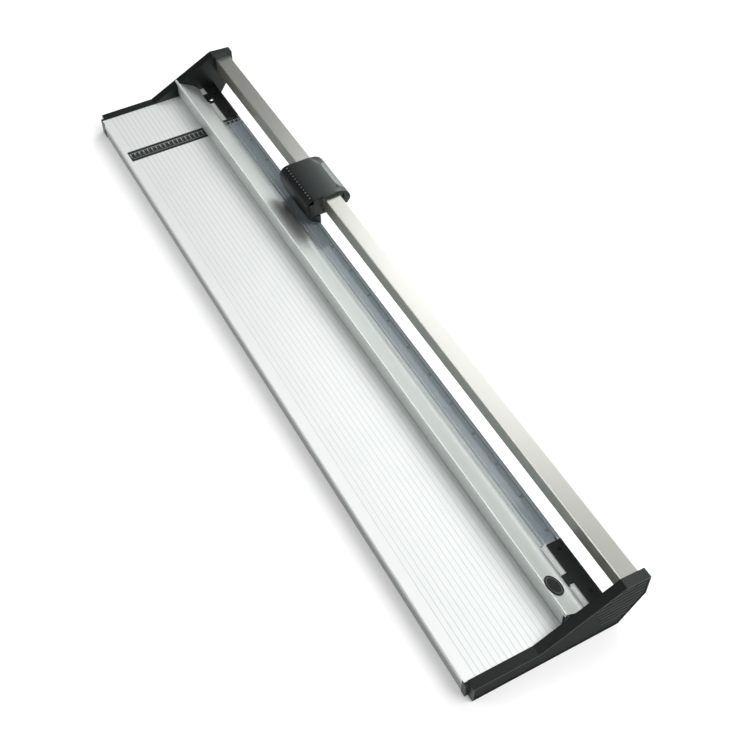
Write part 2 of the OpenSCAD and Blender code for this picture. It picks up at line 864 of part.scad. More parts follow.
module rail_bolts() {
    color(steel) centred() both_ends() {
        rod_x(rail_end - plug_l + 4, plate_x + over, rail_mid_y, rail_mid_z, bolt_r);
        difference() {
            rod_x(plate_x, plate_x + bolt_head_h, rail_mid_y, rail_mid_z, bolt_head_r);
            translate([plate_x + bolt_head_h / 2, rail_mid_y, rail_mid_z]) rotate([0, 90, 0])
                cylinder(h = bolt_head_h, r = bolt_r - 0.5, $fn = 6);
        }
    }
}

// Cutting head: the saddle wraps round the rail and carries the hood and the blade housing
saddle_half = hood_l / 2 - 3.6;
pad_room = pad_t + slide_fit;
saddle_y0 = rail_y - 23.3;
saddle_top = rail_top + pad_room + 4.2;
saddle_low = rail_z - 6.9;
saddle_back = rail_back + pad_room + 9;
back_chamfer = 11;
lip_y = rail_y + 17.7;
saddle_outline = [
    [saddle_y0, saddle_low],
    [lip_y, saddle_low],
    [lip_y, rail_z - pad_room],
    [rail_y - pad_room, rail_z - pad_room],
    [rail_y - pad_room, rail_top + pad_room],
    [rail_back + pad_room, rail_top + pad_room],
    [rail_back + pad_room, rail_z + 6],
    [saddle_back, rail_z + 6],
    [saddle_back, saddle_top - back_chamfer],
    [saddle_back - back_chamfer, saddle_top],
    [saddle_y0 + 8, saddle_top],
    [saddle_y0, saddle_top - 8]
];
blade_y = cut_y + blade_fit;
blade_z = table_top - blade_dip + blade_r;
blade_room = 2.5;
axle_back = 20;
housing_back = cut_y - 0.8;
screw_reach = 13;

module in_head() {
    centred() translate([head_x, 0, 0]) children();
}

module carriage_saddle() {
    color(dark) in_head() difference() {
        along_x(-saddle_half, saddle_half) polygon(saddle_outline);
        box([-blade_r - blade_room, housing_back + 0.3, saddle_low - over],
            [blade_r + blade_room, rail_y + 2, blade_z + blade_r + blade_room]);
        rod_y(0, saddle_y0 - over, housing_back + over, blade_z, axle_r + fit);
        for (x = [-house_screw_x, house_screw_x])
            rod_y(x, saddle_y0 - over, saddle_y0 + screw_reach, house_screw_z, tap_r + bore_fit);
        for (x = [-hood_screw_x, hood_screw_x])
            rod_y(x, saddle_back - 7, saddle_back + over, hood_screw_z, tap_r + bore_fit);
    }
}

pad_x0 = blade_r + blade_room + 0.5;
pad_margin = 3;
module glide_pads() {
    color("#e8e8e2") in_head() both_ends() {
        x0 = pad_x0;
        x1 = saddle_half - 2;
        box([x0, rail_y + pad_margin, rail_top + slide_fit],
            [x1, rail_back - pad_margin, rail_top + pad_room]);
        box([x0, rail_y - pad_room, rail_z + pad_margin],
            [x1, rail_y - slide_fit, rail_top - pad_margin]);
        box([x0, rail_back + slide_fit, rail_z + 2 * pad_margin + over],
            [x1, rail_back + pad_room, rail_top - pad_margin]);
        box([x0, rail_y + pad_margin, rail_z - pad_room],
            [x1, lip_y - over, rail_z - slide_fit]);
    }
}

// Hood, a shell with a thick grip along its back and a finger scoop in the upper back edge
hood_front = rail_y - hood_front_reach;
hood_low = rail_z + 9.1;
hood_top = saddle_top + hood_t;
grip_y = saddle_back + 0.2;
front_r = 19;
front_steps = 8;
hood_wall = 2.6;
function front_arc(r, y, z) = [for (i = [0 : front_steps])
    [y - r * cos(90 * i / front_steps), z + r * sin(90 * i / front_steps)]];
grip_depth = 36;
grip_drop = 31.6;
back_arc = [
    [hood_back - grip_depth, hood_top],
    [hood_back - 19, hood_top - 2.6],
    [hood_back - 9.5, hood_top - 7.6],
    [hood_back - 2.6, hood_top - 15.6],
    [hood_back, hood_top - 23.6],
    [hood_back - 1.2, hood_top - grip_drop],
    [hood_back - 7.6, rail_z + 2.6]
];
hood_outline = concat(
    [[hood_front, hood_low]],
    front_arc(front_r, hood_front + front_r, hood_top - front_r),
    back_arc,
    [
        [grip_y, rail_z + 2.6],
        [grip_y, saddle_top - back_chamfer],
        [grip_y - back_chamfer, saddle_top]
    ],
    [for (i = [front_steps : -1 : 0])
        front_arc(front_r - hood_wall, hood_front + front_r, saddle_top - front_r + hood_wall)[i]],
    [[hood_front + hood_wall, hood_low]]
);
scoop_r = 28;
scoop_y = hood_back + 5.9;
scoop_z = hood_top + 10;
scoop_half = 27;
scoop_x = 3;
inlay_t = 1.2;
hood_screw_x = 42;
hood_screw_z = rail_z + 14;
module scoop(r) {
    hull()
        for (side = [-1, 1])
            translate([scoop_x + side * scoop_half, scoop_y, scoop_z]) sphere(r = r, $fn = 36);
}

module hood_blank() {
    along_x(-hood_l / 2, hood_l / 2) polygon(hood_outline);
}

module carriage_hood() {
    color(black) in_head() difference() {
        hood_blank();
        scoop(scoop_r + inlay_t);
        for (x = [-hood_screw_x, hood_screw_x]) {
            rod_y(x, grip_y - over, hood_back + over, hood_screw_z, tap_r + fit);
            rod_y(x, hood_back - 6, hood_back + over, hood_screw_z, head_r + fit);
        }
    }
}

module grip_inlay() {
    color("#a0a5a4") in_head() difference() {
        intersection() {
            hood_blank();
            scoop(scoop_r + inlay_t);
        }
        scoop(scoop_r);
    }
}

module cap_screw(x, y_head, y_tip, z) {
    side = sign(y_tip - y_head);
    y_neck = y_head + side * 3;
    difference() {
        union() {
            rod_y(x, min(y_head, y_neck), max(y_head, y_neck), z, head_r - 0.3);
            rod_y(x, min(y_neck, y_tip), max(y_neck, y_tip), z, tap_r);
        }
        translate([x, y_head, z]) rotate([90, 0, 0]) cylinder(h = 3.2, r = 1.7, center = true, $fn = 6);
    }
}

module hood_screws() {
    color(steel) in_head()
        for (x = [-hood_screw_x, hood_screw_x])
            cap_screw(x, hood_back - 3, saddle_back - 6, hood_screw_z);
}

// Blade housing below the hood's front, with the rollers and the axle in it
house_half = hood_l / 2 - 1.6;
house_low = strip_top + 1;
house_front = hood_front + 0.8;
house_screw_x = 48;
house_screw_z = rail_z + 17;
house_rise = 28;
house_top = rail_z + house_rise;
house_outline = [
    [house_front, rail_z - 0.9],
    [house_front + 9.3, blade_z - 0.7],
    [housing_back - 10.8, table_top + 10.4],
    [housing_back - 3.4, table_top + 6.6],
    [housing_back - 1.3, house_low],
    [housing_back, house_low],
    [housing_back, saddle_low - 0.2],
    [saddle_y0 - 0.2, saddle_low - 0.2],
    [saddle_y0 - 0.2, house_top],
    [hood_front + 7.5, house_top],
    [hood_front + 3.2, house_top - 6],
    [hood_front + 3.2, hood_low],
    [house_front, hood_low - 0.4]
];
bulge_r = 620;
house_round = 9;
roller_end = 26;
roller_x = house_half - roller_end;
roller_z = strip_top + roll_fit + roller_r;
roller_y1 = housing_back - 4.3;
roller_y0 = roller_y1 - roller_w;
pin_side = 3;
roller_pin_r = 2;

module house_plan() {
    intersection() {
        translate([0, house_front + bulge_r]) circle(r = bulge_r, $fn = 720);
        union() {
            translate([-house_half, house_front + house_round])
                square([2 * house_half, housing_back - house_front - house_round]);
            translate([-house_half + house_round, house_front])
                square([2 * (house_half - house_round), house_round + over]);
            for (side = [-1, 1])
                translate([side * (house_half - house_round), house_front + house_round])
                    circle(r = house_round);
        }
    }
}

module blade_housing() {
    color(black) in_head() difference() {
        intersection() {
            along_x(-house_half, house_half) polygon(house_outline);
            translate([0, 0, house_low - over]) linear_extrude(height = house_top - house_low + 2 * over)
                house_plan();
        }
        rod_y(0, blade_y - axle_back - over, housing_back + over, blade_z, axle_r + bore_fit);
        for (x = [-roller_x, roller_x]) {
            rod_y(x, roller_y0 - 0.5, roller_y1 + 0.5, roller_z, roller_r + 1);
            box([x - roller_r - 1, roller_y0 - 0.5, house_low - over],
                [x + roller_r + 1, roller_y1 + 0.5, roller_z]);
            rod_y(x, roller_y0 - pin_side, housing_back + over, roller_z, roller_pin_r + bore_fit);
        }
        for (x = [-house_screw_x, house_screw_x]) {
            rod_y(x, house_front, saddle_y0, house_screw_z, tap_r + fit);
            rod_y(x, house_front, hood_front + 8, house_screw_z, head_r + fit);
        }
    }
}

module housing_screws() {
    color(steel) in_head()
        for (x = [-house_screw_x, house_screw_x])
            cap_screw(x, hood_front + 5, saddle_y0 + screw_reach - 1, house_screw_z);
}

module roller_pin(x) {
    color(steel) in_head() rod_y(x, roller_y0 - pin_side + 0.2, housing_back - 0.2, roller_z, roller_pin_r);
}

module left_roller_pin() {
    roller_pin(-roller_x);
}

module right_roller_pin() {
    roller_pin(roller_x);
}

roller_edge = 0.8;
roller_bore = roller_pin_r + 0.06;
module press_roller(x) {
    color("#3a3f40") in_head() translate([x, roller_y0, roller_z]) rotate([-90, 0, 0]) rotate_extrude()
        polygon([
            [roller_bore, 0],
            [roller_r - roller_edge, 0],
            [roller_r, roller_edge],
            [roller_r, roller_w - roller_edge],
            [roller_r - roller_edge, roller_w],
            [roller_bore, roller_w]
        ]);
}

module left_press_roller() {
    press_roller(-roller_x);
}

module right_press_roller() {
    press_roller(roller_x);
}

// Rotary blade on its hub and bush; the washer presses it against the counter blade
bush_wall = 1;
hub_wall = 1;
bush_out = axle_r + 0.05 + bush_wall;
sleeve_r = bush_out + hub_wall;
flange_r = 11;
flange_t = 2.2;
flange_y = blade_y + blade_t;
hub_end = flange_y + flange_t;
washer_room = 1.6;
nut_t = 2;
bevel_l = 3;
edge_land = 0.15;

module turned(y) {
    in_head() translate([0, y, blade_z]) rotate([-90, 0, 0]) rotate_extrude() children();
}

module rotary_blade() {
    color(bright) turned(blade_y)
        polygon([
            [sleeve_r + bore_fit, 0],
            [blade_r, 0],
            [blade_r, edge_land],
            [blade_r - bevel_l, blade_t],
            [sleeve_r + bore_fit, blade_t]
        ]);
}

module blade_hub() {
    color(steel) turned(blade_y)
        polygon([
            [bush_out + bore_fit, 0],
            [sleeve_r, 0],
            [sleeve_r, blade_t],
            [flange_r, blade_t],
            [flange_r, blade_t + flange_t],
            [bush_out + bore_fit, blade_t + flange_t]
        ]);
}

module blade_bush() {
    color("#b59b5a") turned(blade_y)
        translate([axle_r + 0.05, 0]) square([bush_wall, blade_t + flange_t]);
}

module blade_axle() {
    color(steel) in_head() difference() {
        union() {
            rod_y(0, blade_y - axle_back, hub_end + washer_room + over, blade_z, axle_r);
            rod_y(0, hub_end + washer_room, hub_end + washer_room + nut_t, blade_z, axle_r + 2.5);
        }
        box([-axle_r - 3, hub_end + washer_room + nut_t - 0.8, blade_z - 0.6],
            [axle_r + 3, hub_end + washer_room + nut_t + over, blade_z + 0.6]);
    }
}

washer_t = 0.6;
module blade_spring_washer() {
    gap = 0.1;
    color(bright) turned(hub_end + gap)
        polygon([
            [axle_r + 0.3, washer_room - 2 * gap - washer_t],
            [axle_r + 3.8, 0],
            [axle_r + 3.8, washer_t],
            [axle_r + 0.3, washer_room - 2 * gap]
        ]);
}

left_bracket();
right_bracket();
left_side_cover();
right_side_cover();
rubber_feet();
baseboard();
left_corner_cap();
right_corner_cap();
counter_blade();
counter_blade_screws();
scale_strip();
left_end_rest();
right_end_rest();
end_rest_screws();
tab_stud();
clamp_pin_bushes();
guide_rail();
rail_end_plugs();
rail_bolts();
baseboard_bolts();
clamp_bar();
clear_strip();
badge_plug();
clamp_end_cap();
clamp_guide_blocks();
clamp_guide_pins();
clamp_stop_clips();
clamp_springs();
carriage_saddle();
glide_pads();
carriage_hood();
grip_inlay();
hood_screws();
blade_housing();
housing_screws();
blade_axle();
blade_spring_washer();
left_roller_pin();
right_roller_pin();
rotary_blade();
blade_hub();
blade_bush();
left_press_roller();
right_press_roller();
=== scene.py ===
# Rotary paper trimmer: finishes, printed marks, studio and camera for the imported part
import math
import bmesh
import bpy
from mathutils import Matrix, Vector


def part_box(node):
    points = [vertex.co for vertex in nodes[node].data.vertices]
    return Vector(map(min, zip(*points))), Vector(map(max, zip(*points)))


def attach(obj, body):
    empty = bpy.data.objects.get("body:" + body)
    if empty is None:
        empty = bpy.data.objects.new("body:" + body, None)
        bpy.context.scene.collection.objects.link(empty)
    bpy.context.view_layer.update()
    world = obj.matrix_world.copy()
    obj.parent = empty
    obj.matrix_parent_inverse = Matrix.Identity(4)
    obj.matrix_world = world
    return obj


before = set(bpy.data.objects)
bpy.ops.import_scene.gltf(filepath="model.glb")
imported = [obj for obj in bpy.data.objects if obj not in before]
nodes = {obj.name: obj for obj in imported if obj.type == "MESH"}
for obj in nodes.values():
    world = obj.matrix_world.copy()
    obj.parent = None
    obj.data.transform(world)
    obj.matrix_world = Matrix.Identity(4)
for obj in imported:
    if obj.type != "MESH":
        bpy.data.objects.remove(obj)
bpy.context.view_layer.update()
mm = 0.001
filmThick = 0.04 * mm  # how far printed ink, cement and the strip's and blade's thin lines stand proud
print("frame loaded:", len(nodes), "nodes")


# Small helpers

def linear(hexColour):  # sRGB hex to the linear colour that the shaders use
    channels = [int(hexColour[i:i + 2], 16) / 255 for i in (1, 3, 5)]
    return [c / 12.92 if c <= 0.04045 else ((c + 0.055) / 1.055) ** 2.4 for c in channels] + [1.0]


def addNode(tree, kind, settings=None, links=None):  # one node with its settings and links
    node = tree.nodes.new(kind)
    for key, value in (settings or {}).items():
        if key in node.inputs.keys() or isinstance(key, int):
            node.inputs[key].default_value = value
        else:
            setattr(node, key, value)
    for key, socket in (links or {}).items():
        tree.links.new(socket, node.inputs[key])
    return node


def startMaterial(name):  # an empty material with object coordinates in metres
    material = bpy.data.materials.new(name)
    material.use_nodes = True
    tree = material.node_tree
    tree.nodes.clear()
    place = addNode(tree, "ShaderNodeTexCoord").outputs["Object"]
    return material, tree, place


def paint(material, *names):  # puts one finish on CAD nodes
    for name in names:
        mesh = nodes[name].data
        mesh.materials.clear()
        mesh.materials.append(material)


def addObject(name, data):
    thing = bpy.data.objects.new(name, data)
    bpy.context.scene.collection.objects.link(thing)
    return thing


def meshFrom(name, bm):
    mesh = bpy.data.meshes.new(name)
    bm.to_mesh(mesh)
    bm.free()
    return mesh


def addPiece(name, bm, material, body):  # a piece of the scene's own that rides on a body
    mesh = meshFrom(name, bm)
    mesh.materials.append(material)
    piece = addObject(name, mesh)
    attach(piece, body)


def flatFace(bm, corners):
    return bm.faces.new([bm.verts.new(corner) for corner in corners])


def thinSlab(bm, corners, by):  # a flat face drawn out by a small step
    raised = bmesh.ops.extrude_face_region(bm, geom=[flatFace(bm, corners)])["geom"]
    bmesh.ops.translate(bm, vec=by, verts=[part for part in raised if isinstance(part, bmesh.types.BMVert)])


def flatBar(bm, x0, x1, y0, y1, z):
    thinSlab(bm, [(x0, y0, z), (x1, y0, z), (x1, y1, z), (x0, y1, z)], (0, 0, filmThick))


# Moulded plastics; grain, depth and cloud are in mm

absGrain = {
    "colour": "#070909", "worn": "#0b0d0d", "cloud": 45, "grain": 0.8, "bump": 0.10, "depth": 0.1,
    "roughness": 0.38, "glossier": 0.06, "duller": 0.08, "ior": 1.5, "specular": 0.45, "tint": "#e2f2ee",
    "paintedHighlight": 0.0, "ledgeHighlightTone": "#8b9392", "ledgeFrom": 0.2, "ledgeTo": 0.5}


def mouldedPlastic(name, look):  # moulded, with a spark-eroded grain: it breaks the gloss into a soft haze
    material, tree, place = startMaterial(name)
    # the real grain is about 0.1 mm, drawn coarser so that it shows
    grain = addNode(tree, "ShaderNodeTexNoise", {"Scale": 1 / (look["grain"] * mm), "Detail": 3.0},
                    {"Vector": place})
    cloud = addNode(tree, "ShaderNodeTexNoise", {"Scale": 1 / (look["cloud"] * mm), "Detail": 2.0},
                    {"Vector": place})
    tone = addNode(tree, "ShaderNodeMix",
                   {"data_type": "RGBA", 6: linear(look["colour"]), 7: linear(look["worn"])},
                   {0: cloud.outputs["Fac"]})
    # painted highlight: faces that turn up, such as the ribs' upper ledges, are lightened as if lit from
    # above
    facing = addNode(tree, "ShaderNodeNewGeometry")
    axes = addNode(tree, "ShaderNodeSeparateXYZ", None, {0: facing.outputs["Normal"]})
    ledge = addNode(tree, "ShaderNodeMapRange",
                    {"From Min": look["ledgeFrom"], "From Max": look["ledgeTo"], "To Max": look["paintedHighlight"]},
                    {"Value": axes.outputs["Z"]})
    tone = addNode(tree, "ShaderNodeMix", {"data_type": "RGBA", 7: linear(look["ledgeHighlightTone"])},
                   {0: ledge.outputs[0], 6: tone.outputs[2]})
    haze = addNode(tree, "ShaderNodeMapRange",
                   {"To Min": look["roughness"] - look["glossier"],
                    "To Max": look["roughness"] + look["duller"]},
                   {"Value": grain.outputs["Fac"]})
    relief = addNode(tree, "ShaderNodeBump", {"Strength": look["bump"], "Distance": look["depth"] * mm},
                     {"Height": grain.outputs["Fac"]})
    skin = addNode(tree, "ShaderNodeBsdfPrincipled",
                   {"IOR": look["ior"], "Specular IOR Level": look["specular"],
                    "Specular Tint": linear(look["tint"])},
                   {"Base Color": tone.outputs[2], "Roughness": haze.outputs[0], "Normal": relief.outputs[0]})
    addNode(tree, "ShaderNodeOutputMaterial", None, {"Surface": skin.outputs[0]})
    return material


blackAbs = mouldedPlastic("black_abs_spark_grain", absGrain)
# the hood is moulded smoother, and hands keep it glossy
hoodAbs = mouldedPlastic("black_abs_hood", dict(
    absGrain, colour="#050708", worn="#080b0c", roughness=0.34, specular=0.4))
# the covers are dull, and a painted highlight lightens the ribs' upward ledges
coverAbs = mouldedPlastic("grey_abs_cover", dict(
    absGrain, colour="#0b1110", worn="#0e1513", roughness=0.46, specular=0.06, paintedHighlight=0.42))
badgeAbs = mouldedPlastic("black_abs_badge", dict(absGrain, roughness=0.42, specular=0.2))
saddleAbs = mouldedPlastic("grey_abs_saddle", dict(
    absGrain, colour="#2a2e2c", worn="#313532", roughness=0.55))
gripAbs = mouldedPlastic("grey_abs_grip", dict(
    absGrain, colour="#6c7071", worn="#757a7b", roughness=0.35, specular=0.5))
rimAbs = mouldedPlastic("worn_abs_rim", dict(absGrain, colour="#2e3335", worn="#3a4042", roughness=0.4))
padAcetal = mouldedPlastic("white_acetal_pad", dict(
    absGrain, colour="#e4e4de", worn="#ecece6", roughness=0.4))
scaleVinyl = mouldedPlastic("black_vinyl_strip", dict(
    absGrain, colour="#14181a", worn="#1a1f20", roughness=0.42))


# Extruded aluminium; line, bloom and depth are in mm, heights in metres
# a sideTop above the part and a sunk height below it leave out the lip and the painted groove shade

extrusion = {
    "along": 0.02, "cloud": 0.4, "bloom": 160, "haze": 0.05, "bump": 0.05, "depth": 0.05,
    "frontFrom": -0.9, "frontTo": -0.5, "sideTop": 1.0, "lipBlend": 8 * mm,
    "sunk": -1.0, "sunkBlend": 0.1 * mm, "sunkShade": 0.8}


def extrudedAluminium(name, look):  # anodised extrusion: fine die lines along X draw the highlights out
    material, tree, place = startMaterial(name)
    stretch = addNode(tree, "ShaderNodeMapping", {"Scale": (look["along"], 1.0, 1.0)}, {"Vector": place})
    # real die lines are about 0.2 mm apart, drawn coarser so that they show
    lines = addNode(tree, "ShaderNodeTexNoise",
                    {"Scale": 1 / (look["line"] * mm), "Detail": 4.0, "Roughness": 0.6},
                    {"Vector": stretch.outputs[0]})
    bloom = addNode(tree, "ShaderNodeTexNoise", {"Scale": 1 / (look["bloom"] * mm), "Detail": 3.0},
                    {"Vector": place})
    both = addNode(tree, "ShaderNodeMath", {"operation": "MULTIPLY_ADD", 1: look["cloud"]},
                   {0: bloom.outputs["Fac"], 2: lines.outputs["Fac"]})
    tone = addNode(tree, "ShaderNodeMix",
                   {"data_type": "RGBA", 6: linear(look["dark"]), 7: linear(look["light"])},
                   {0: both.outputs[0]})
    haze = addNode(tree, "ShaderNodeMapRange",
                   {"To Min": look["roughness"], "To Max": look["roughness"] + look["haze"]},
                   {"Value": lines.outputs["Fac"]})
    relief = addNode(tree, "ShaderNodeBump", {"Strength": look["bump"], "Distance": look["depth"] * mm},
                     {"Height": lines.outputs["Fac"]})
    # front faces are less metallic than the top, with a tone of their own: painted shade on the table,
    # painted light on bar and rail
    facing = addNode(tree, "ShaderNodeNewGeometry")
    axes = addNode(tree, "ShaderNodeSeparateXYZ", None, {0: facing.outputs["Normal"]})
    top = addNode(tree, "ShaderNodeMapRange", {"From Min": look["frontFrom"], "From Max": look["frontTo"]},
                  {"Value": axes.outputs["Y"]})
    sheen = addNode(tree, "ShaderNodeMapRange", {"To Min": look["sideMetal"], "To Max": look["metallic"]},
                    {"Value": top.outputs[0]})
    height = addNode(tree, "ShaderNodeSeparateXYZ", None, {0: place})
    # the front keeps the top's tone above sideTop, blended over lipBlend, so the table's painted shade stays
    # on its lower band
    lip = addNode(tree, "ShaderNodeMapRange",
                  {"From Min": look["sideTop"] - look["lipBlend"], "From Max": look["sideTop"]},
                  {"Value": height.outputs["Z"]})
    topToneMask = addNode(tree, "ShaderNodeMath", {"operation": "MAXIMUM"},
                       {0: top.outputs[0], 1: lip.outputs[0]})
    coat = addNode(tree, "ShaderNodeMix", {"data_type": "RGBA", 6: linear(look["side"])},
                   {0: topToneMask.outputs[0], 7: tone.outputs[2]})
    # painted shade darkens what lies a little below the top, such as a groove; the front faces are left out
    paintedGrooveShade = addNode(tree, "ShaderNodeMapRange",
                    {"From Min": look["sunk"] - look["sunkBlend"], "From Max": look["sunk"],
                     "To Min": look["sunkShade"]},
                    {"Value": height.outputs["Z"]})
    front = addNode(tree, "ShaderNodeMath", {"operation": "LESS_THAN", 1: look["frontTo"]},
                    {0: axes.outputs["Y"]})
    grooveShadeMask = addNode(tree, "ShaderNodeMath", {"operation": "MAXIMUM"},
                    {0: paintedGrooveShade.outputs[0], 1: front.outputs[0]})
    coat = addNode(tree, "ShaderNodeMix", {"data_type": "RGBA", "blend_type": "MULTIPLY", 0: 1.0},
                   {6: coat.outputs[2], 7: grooveShadeMask.outputs[0]})
    skin = addNode(tree, "ShaderNodeBsdfPrincipled", None,
                   {"Base Color": coat.outputs[2], "Metallic": sheen.outputs[0], "Roughness": haze.outputs[0],
                    "Normal": relief.outputs[0]})
    addNode(tree, "ShaderNodeOutputMaterial", None, {"Surface": skin.outputs[0]})
    return material


# the table's coat is thick and matt, so it reads paler and less like bare metal than the bar's
# painted shade: the side colour darkens the table's lower front
tableSilver = extrudedAluminium("silver_anodised_table", dict(
    extrusion, light="#eff2f1", dark="#e2e6e5", line=1.6, cloud=0.35, bump=0.06, roughness=0.44,
    metallic=0.4, sideMetal=0.1, side="#a2a6a4", sideTop=35 * mm, sunk=38.2 * mm))
# painted light: the side colour lightens the bar's front wall
barSilver = extrudedAluminium("silver_anodised_bar", dict(
    extrusion, light="#c4cac7", dark="#b6bcba", line=1.2, roughness=0.34, metallic=0.85, sideMetal=0.3,
    side="#d6ddd9"))
# the rail's satin is even: no lines show, only long soft reflections
# painted light: the side colour lightens the rail's front face
railSatin = extrudedAluminium("satin_anodised_rail", dict(
    extrusion, light="#c2c2bd", dark="#bdbdb8", line=3.0, haze=0.0, bump=0.0, roughness=0.28,
    metallic=0.94, sideMetal=0.8, side="#dddbd0"))
# near-white and nearly matt: the painted highlight on the bar's crest, and the pale stripe on the counter
# blade
brightEdge = extrudedAluminium("near_white_edge", dict(
    extrusion, light="#fbfcfb", dark="#eef0ef", line=1.2, roughness=0.5, metallic=0.2, sideMetal=0.2,
    side="#fbfcfb"))
plugSilver = extrudedAluminium("sawn_aluminium_plug", dict(
    extrusion, light="#c9cbca", dark="#a9abaa", along=1.0, line=1.5, cloud=0.3, bump=0.2, roughness=0.5,
    metallic=1.0, sideMetal=1.0, side="#c9cbca"))


# Machined metals; line is in mm

toolMarks = {"stretch": (1.0, 1.0, 1.0), "glossier": 0.05, "duller": 0.1}


def machinedMetal(name, look):  # ground, plated or turned: the tool's scratches give a streaky shine
    material, tree, place = startMaterial(name)
    stretch = addNode(tree, "ShaderNodeMapping", {"Scale": look["stretch"]}, {"Vector": place})
    # real tool marks are finer than 0.1 mm, drawn coarser so that they show
    scratch = addNode(tree, "ShaderNodeTexNoise", {"Scale": 1 / (look["line"] * mm), "Detail": 5.0},
                      {"Vector": stretch.outputs[0]})
    tone = addNode(tree, "ShaderNodeMix",
                   {"data_type": "RGBA", 6: linear(look["dark"]), 7: linear(look["light"])},
                   {0: scratch.outputs["Fac"]})
    haze = addNode(tree, "ShaderNodeMapRange",
                   {"To Min": look["roughness"] - look["glossier"],
                    "To Max": look["roughness"] + look["duller"]},
                   {"Value": scratch.outputs["Fac"]})
    skin = addNode(tree, "ShaderNodeBsdfPrincipled", {"Metallic": 1.0},
                   {"Base Color": tone.outputs[2], "Roughness": haze.outputs[0]})
    addNode(tree, "ShaderNodeOutputMaterial", None, {"Surface": skin.outputs[0]})
    return material


bladeSteel = machinedMetal("ground_tool_steel", dict(
    toolMarks, light="#d2d7da", dark="#b9c0c4", line=0.8, stretch=(0.05, 1.0, 1.0), roughness=0.3))
zincSteel = machinedMetal("zinc_plated_steel", dict(
    toolMarks, light="#cdd2d4", dark="#b3b9bb", line=1.5, roughness=0.32))
blackSteel = machinedMetal("blackened_steel_screw", dict(
    toolMarks, light="#2c3032", dark="#232728", line=1.5, roughness=0.4))
chromedSteel = machinedMetal("chromed_dome", dict(
    toolMarks, light="#f0f2f2", dark="#e6e8e8", line=3.0, roughness=0.1))
turnedBrass = machinedMetal("turned_brass_bush", dict(
    toolMarks, light="#c8a860", dark="#b0904a", line=0.6, stretch=(1.0, 0.1, 1.0), roughness=0.3))


# Rubber, clear sheet and ink; bloom, depth, draw and wear are in mm

rubberSkin = {"bloom": 6, "bloomTone": "#2c2f30", "bump": 0.15, "depth": 0.1, "roughness": 0.8, "ior": 1.52,
              "specular": 0.3}
sheetSkin = {"light": "#d3dce0", "dark": "#becad0", "draw": 12, "along": 0.1, "roughness": 0.02, "haze": 0.06,
             "ior": 1.58, "clear": 0.75, "shadow": "#a9b0b4"}
inkSkin = {"wear": 1.5, "roughness": 0.6, "ior": 1.5}


def softRubber(name, colour):  # moulded rubber: matt, with a slight bloom
    material, tree, place = startMaterial(name)
    bloom = addNode(tree, "ShaderNodeTexNoise", {"Scale": 1 / (rubberSkin["bloom"] * mm), "Detail": 4.0},
                    {"Vector": place})
    tone = addNode(tree, "ShaderNodeMix",
                   {"data_type": "RGBA", 6: linear(colour), 7: linear(rubberSkin["bloomTone"])},
                   {0: bloom.outputs["Fac"]})
    relief = addNode(tree, "ShaderNodeBump",
                     {"Strength": rubberSkin["bump"], "Distance": rubberSkin["depth"] * mm},
                     {"Height": bloom.outputs["Fac"]})
    skin = addNode(tree, "ShaderNodeBsdfPrincipled",
                   {"Roughness": rubberSkin["roughness"], "IOR": rubberSkin["ior"],
                    "Specular IOR Level": rubberSkin["specular"]},
                   {"Base Color": tone.outputs[2], "Normal": relief.outputs[0]})
    addNode(tree, "ShaderNodeOutputMaterial", None, {"Surface": skin.outputs[0]})
    return material


def clearPolycarbonate(name, look):  # extruded clear sheet: a faint blue tint and a soft gloss
    material, tree, place = startMaterial(name)
    stretch = addNode(tree, "ShaderNodeMapping", {"Scale": (look["along"], 1.0, 1.0)}, {"Vector": place})
    draw = addNode(tree, "ShaderNodeTexNoise", {"Scale": 1 / (look["draw"] * mm), "Detail": 3.0},
                   {"Vector": stretch.outputs[0]})
    haze = addNode(tree, "ShaderNodeMapRange",
                   {"To Min": look["roughness"], "To Max": look["roughness"] + look["haze"]},
                   {"Value": draw.outputs["Fac"]})
    tone = addNode(tree, "ShaderNodeMix",
                   {"data_type": "RGBA", 6: linear(look["dark"]), 7: linear(look["light"])},
                   {0: draw.outputs["Fac"]})
    skin = addNode(tree, "ShaderNodeBsdfPrincipled",
                   {"IOR": look["ior"], "Transmission Weight": look["clear"]},
                   {"Base Color": tone.outputs[2], "Roughness": haze.outputs[0]})
    # lamps shine through the sheet, so that the steel and its screws below stay lit
    ray = addNode(tree, "ShaderNodeLightPath")
    passed = addNode(tree, "ShaderNodeBsdfTransparent", {"Color": linear(look["shadow"])})
    lit = addNode(tree, "ShaderNodeMixShader", None,
                  {0: ray.outputs["Is Shadow Ray"], 1: skin.outputs[0], 2: passed.outputs[0]})
    addNode(tree, "ShaderNodeOutputMaterial", None, {"Surface": lit.outputs[0]})
    return material


def printedInk(name, colour, fresh):  # screen-printed ink: flat and slightly worn
    material, tree, place = startMaterial(name)
    wear = addNode(tree, "ShaderNodeTexNoise", {"Scale": 1 / (inkSkin["wear"] * mm), "Detail": 3.0},
                   {"Vector": place})
    tone = addNode(tree, "ShaderNodeMix", {"data_type": "RGBA", 6: linear(colour), 7: linear(fresh)},
                   {0: wear.outputs["Fac"]})
    skin = addNode(tree, "ShaderNodeBsdfPrincipled",
                   {"Roughness": inkSkin["roughness"], "IOR": inkSkin["ior"]},
                   {"Base Color": tone.outputs[2]})
    addNode(tree, "ShaderNodeOutputMaterial", None, {"Surface": skin.outputs[0]})
    return material


clearSheet = clearPolycarbonate("clear_polycarbonate_strip", sheetSkin)
footRubber = softRubber("black_rubber_foot", "#1b1d1e")
rollerRubber = softRubber("grey_rubber_roller", "#313536")
scaleInk = printedInk("white_scale_ink", "#8e9491", "#a0a5a2")
hoodInk = printedInk("grey_hood_ink", "#6f7573", "#878d8a")


# Finishes on the CAD nodes

